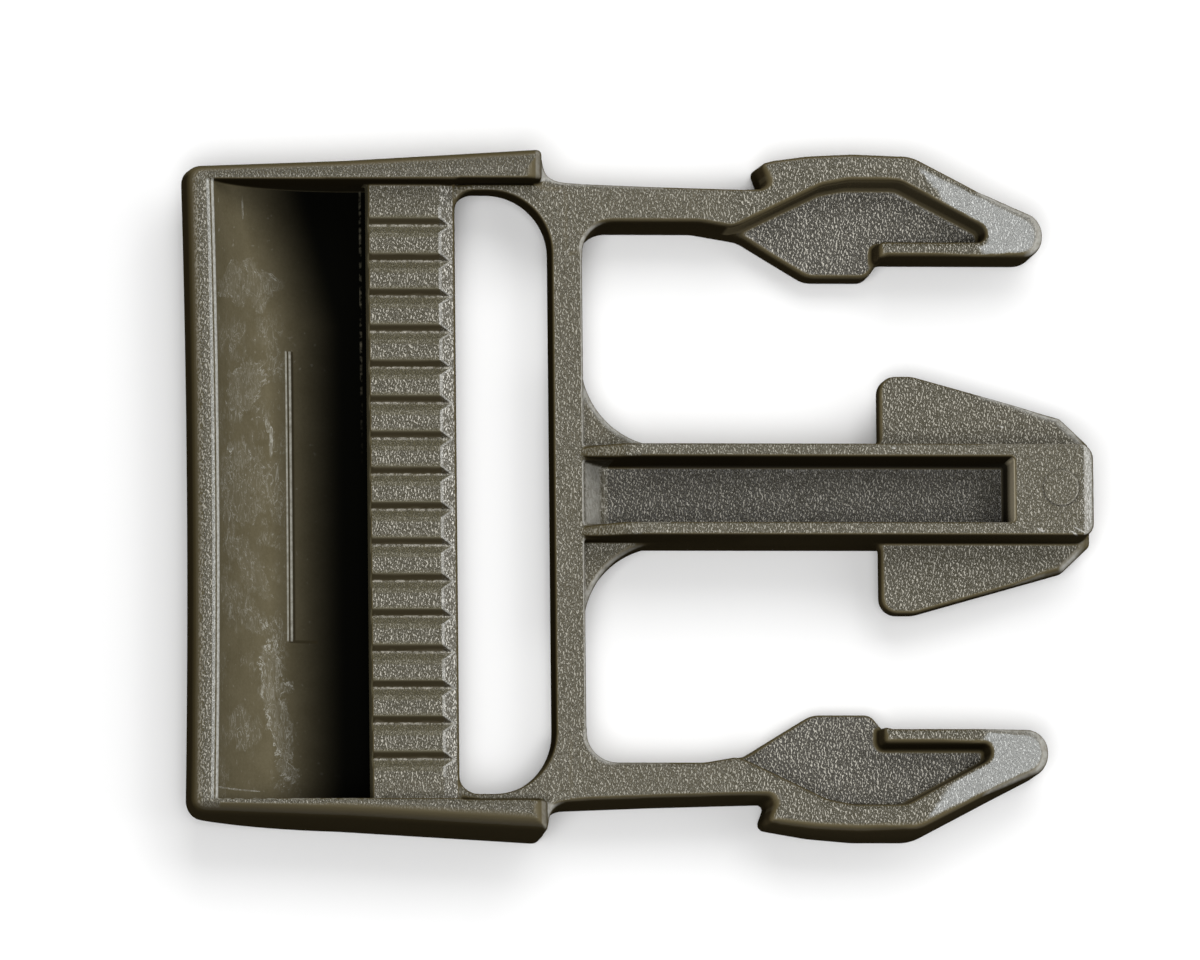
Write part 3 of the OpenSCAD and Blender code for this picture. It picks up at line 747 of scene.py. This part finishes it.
def scratch_mask(n):
    """Fine scratches around the ridge, in three directions: turn, scale and least height of the noise."""
    total = 0.0
    for turn, scale, least in ((0.5, 4500, 0.70), (-0.35, 5700, 0.71), (1.1, 3900, 0.72)):
        along = n.add("ShaderNodeMapping", {"Vector": n.place, "Rotation": (0, 0, turn), "Scale": (1.0, 9.0, 1.0)},
                      vector_type="TEXTURE").outputs[0]
        total = n.most(total, n.ramp(n.noise(along, scale, 2, 0.6, 0.2), least, least + 0.05))
    return n.product(total, n.band(n.x, 2.6, 6.6, 0.8), n.band(n.y, -12, 9, 3), n.noise_ramp(420, 0.42, 0.6))


def trough_marks(n, colour):
    """Scuffs, specks and scratches of the trough, with painted shade that deepens to near black towards the bar and the
    upper wall.
    """
    specks = n.noise_ramp(2600, 0.72, 0.80, 1, 0.5)
    scuffs_and_highlights = n.most(scuff_mask(n), n.product(specks, 0.3), n.product(scratch_mask(n), 0.4))
    colour = n.mix(n.product(n.trough, scuffs_and_highlights), colour, (0.36, 0.35, 0.30))
    # Painted shade: the trough darkens towards the bar, starting nearer the lip close to the upper wall
    inward = n.scaled(n.ramp(n.y, 11.0, 19.8), 2.4, n.x)
    kept = n.math("POWER", n.ramp(inward, 11.0, 5.8), 2.0)
    return n.mix(n.product(n.trough, n.less(kept)), colour, (0.002, 0.002, 0.0015))


def lip_bevel(n, colour):
    """Bevel along the lip with painted highlights: two light lines with a dark one between."""
    lip = n.product(n.band(n.x, LIP_T - 0.44, LIP_T, 0.06), n.ramp(n.half, INNER_HALF + 0.1, INNER_HALF - 0.1),
                    n.ramp(n.z, RIM_H - 1.2, RIM_H - 0.8))
    broken_highlight = n.scaled(n.noise(n.place, 4500, 2, 0.6), 1.5, 0.1)
    between = n.band(n.x, LIP_T - 0.25, LIP_T - 0.17, 0.04)
    return n.mix(n.product(lip, broken_highlight, n.less(between)), colour, (0.52, 0.52, 0.48))


def bar_face(n, colour):
    """Face of the bar towards the lip, painted olive in place of the painted shade of steep sides, and a broken painted
    highlight on the trough below it.
    """
    inside = n.ramp(n.half, INNER_HALF, INNER_HALF - 0.1)
    face = n.product(n.band(n.x, BAR_X - 0.2, BAR_X + 0.05, 0.05), n.band(n.z, 4.1, 5.7, 0.15), inside)
    colour = n.mix(face, colour, (0.13, 0.115, 0.07))
    below = n.product(n.band(n.x, BAR_X - 0.14, BAR_X - 0.04, 0.04), n.ramp(n.z, 2.4, 2.2),
                      n.noise_ramp(2300, 0.45, 0.7), n.ramp(n.y, 2, 9), inside)
    return n.mix(below, colour, (0.07, 0.064, 0.045))


def ridge_lines(n, colour):
    """The ridge across the trough: two light lines of painted highlight, dark lines of painted shade beside them and a
    short dark one at the lower end.
    """
    broken_highlight = n.scaled(n.noise(n.place, 3000, 2, 0.6), 0.9, 0.1)
    long = n.band(n.y, -RIDGE_Y, RIDGE_Y, 0.08)
    light = n.most(n.band(n.x, RIDGE_X - 0.30, RIDGE_X - 0.24, 0.05), n.band(n.x, RIDGE_X - 0.06, RIDGE_X + 0.04, 0.05))
    dark = n.most(n.band(n.x, RIDGE_X - 0.18, RIDGE_X - 0.12, 0.04), n.band(n.x, RIDGE_X + 0.12, RIDGE_X + 0.2, 0.08))
    end = n.product(
        n.band(n.x, RIDGE_X - 0.1, RIDGE_X + 1.7, 0.15), n.band(n.y, -RIDGE_Y - 0.12, -RIDGE_Y + 0.02, 0.05))
    colour = n.mix(n.product(n.most(n.product(dark, long), end), 0.7), colour, (0.02, 0.016, 0.008))
    return n.mix(n.product(light, long, broken_highlight), colour, (0.40, 0.395, 0.35))


def wall_edge_highlight(n, colour):
    """Dotted painted highlight along the top edge of the lower wall, beside the trough."""
    line = n.product(n.band(n.y, -INNER_HALF - 0.1, -INNER_HALF, 0.05), n.band(n.x, LIP_T, BAR_X, 0.1),
                     n.ramp(n.z, 7.7, 7.85), n.noise_ramp(2600, 0.42, 0.6), 0.6)
    return n.mix(line, colour, (0.30, 0.29, 0.24))


def plug_material():
    n = PlugNodes()
    colour = n.mix(n.flat, smooth_colour(n), pebbled_colour(n))
    for marks in (teeth_edges, ramp_wrinkles, tip_shine, lit_edges, ejector_ring, nose_shine, nicks, shaded_sides,
                  pocket_walls, channel_shade, trough_marks, lip_bevel, bar_face, ridge_lines, wall_edge_highlight):
        colour = marks(n, colour)
    bump = n.add("ShaderNodeBump", {"Height": n.grain, "Distance": GRAIN_DEPTH * MM, "Strength": n.flat})
    shader = n.add("ShaderNodeBsdfPrincipled", {
        "Base Color": colour, "Normal": bump.outputs["Normal"], "Roughness": n.scaled(n.flat, -0.06, 0.42),
        "Specular IOR Level": n.product(n.ramp(n.up, 0.55, 0.9), n.less(n.trough), 0.5)})
    n.add("ShaderNodeOutputMaterial", {"Surface": shader.outputs["BSDF"]})
    return n.material


def make_plug():
    """The visible moulding, in place of the CAD node."""
    piece = bpy.data.objects.new("plug_moulding", plug_mesh())
    bpy.context.collection.objects.link(piece)
    reduce(piece, MAX_TRIANGLES)
    keep_in(piece, cad_box)
    for polygon in piece.data.polygons:
        polygon.use_smooth = True
    piece.data.materials.append(plug_material())
    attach(piece, "root")
    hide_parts("buckle_plug")


# Floor and lights, in metres and watts
FLOOR_HALF = 1.5
WORLD_STRENGTH = 0.17
LIGHTS = {
    "overhead_light": {"place": (-0.25, -0.30, 1.5), "size": (0.7, 0.7), "power": 15.5},
    "top_light": {"place": (0.06, 0.36, 0.60), "size": (0.45, 0.35), "power": 1.95},
    "right_light": {"place": (0.42, 0.08, 0.50), "size": (0.5, 0.65), "power": 1.2},
}


def make_floor():
    mesh = bpy.data.meshes.new("floor")
    s = FLOOR_HALF
    mesh.from_pydata([(-s, -s, 0), (s, -s, 0), (s, s, 0), (-s, s, 0)], [], [(0, 1, 2, 3)])
    floor = bpy.data.objects.new("floor", mesh)
    bpy.context.collection.objects.link(floor)
    n = Nodes("pale_floor")
    shader = n.add("ShaderNodeBsdfPrincipled", {"Base Color": (0.9, 0.9, 0.9, 1), "Roughness": 0.8})
    n.add("ShaderNodeOutputMaterial", {"Surface": shader.outputs["BSDF"]})
    mesh.materials.append(n.material)


def area_light(name, place, size, power):
    """Soft rectangular light that looks at the part."""
    light = bpy.data.lights.new(name, "AREA")
    light.shape = "RECTANGLE"
    light.size, light.size_y = size
    light.energy = power
    lamp = bpy.data.objects.new(name, light)
    bpy.context.collection.objects.link(lamp)
    lamp.location = place
    lamp.rotation_euler = (-Vector(place)).to_track_quat("-Z", "Y").to_euler()


def make_lights():
    world = bpy.data.worlds.new("studio")
    world.use_nodes = True
    background = world.node_tree.nodes["Background"]
    background.inputs["Color"].default_value = (1, 1, 1, 1)
    background.inputs["Strength"].default_value = WORLD_STRENGTH
    bpy.context.scene.world = world
    for name, light in LIGHTS.items():
        area_light(name, **light)


# Camera: tilts of the view from straight above, in radians, worked out from where edges lie in the photo
TILT_X, TILT_Y, ROLL = -0.099, 0.115, -0.0017
DISTANCE, FOCAL_PX, OFFSET_PX = 1200.0, 18622.0, (28.6, 20.9)
PHOTO_W, SENSOR = 1200, 36.0


def make_camera():
    turn = Matrix.Identity(3)
    for angle, axis in ((ROLL, "Z"), (TILT_Y, "Y"), (TILT_X, "X")):
        turn = turn @ Matrix.Rotation(angle, 3, axis)
    turn.transpose()
    slide = DISTANCE / FOCAL_PX
    place = turn @ Vector((-OFFSET_PX[0] * slide, OFFSET_PX[1] * slide, DISTANCE))
    camera = bpy.data.cameras.new("camera")
    camera.sensor_width = SENSOR
    camera.lens = FOCAL_PX / PHOTO_W * SENSOR
    camera.clip_end = 10
    holder = bpy.data.objects.new("camera", camera)
    bpy.context.collection.objects.link(holder)
    holder.matrix_world = Matrix.Translation(place * MM) @ turn.to_4x4()
    bpy.context.scene.camera = holder


make_camera()
make_lights()
make_floor()
make_plug()
bpy.context.scene.view_settings.view_transform = "Standard"
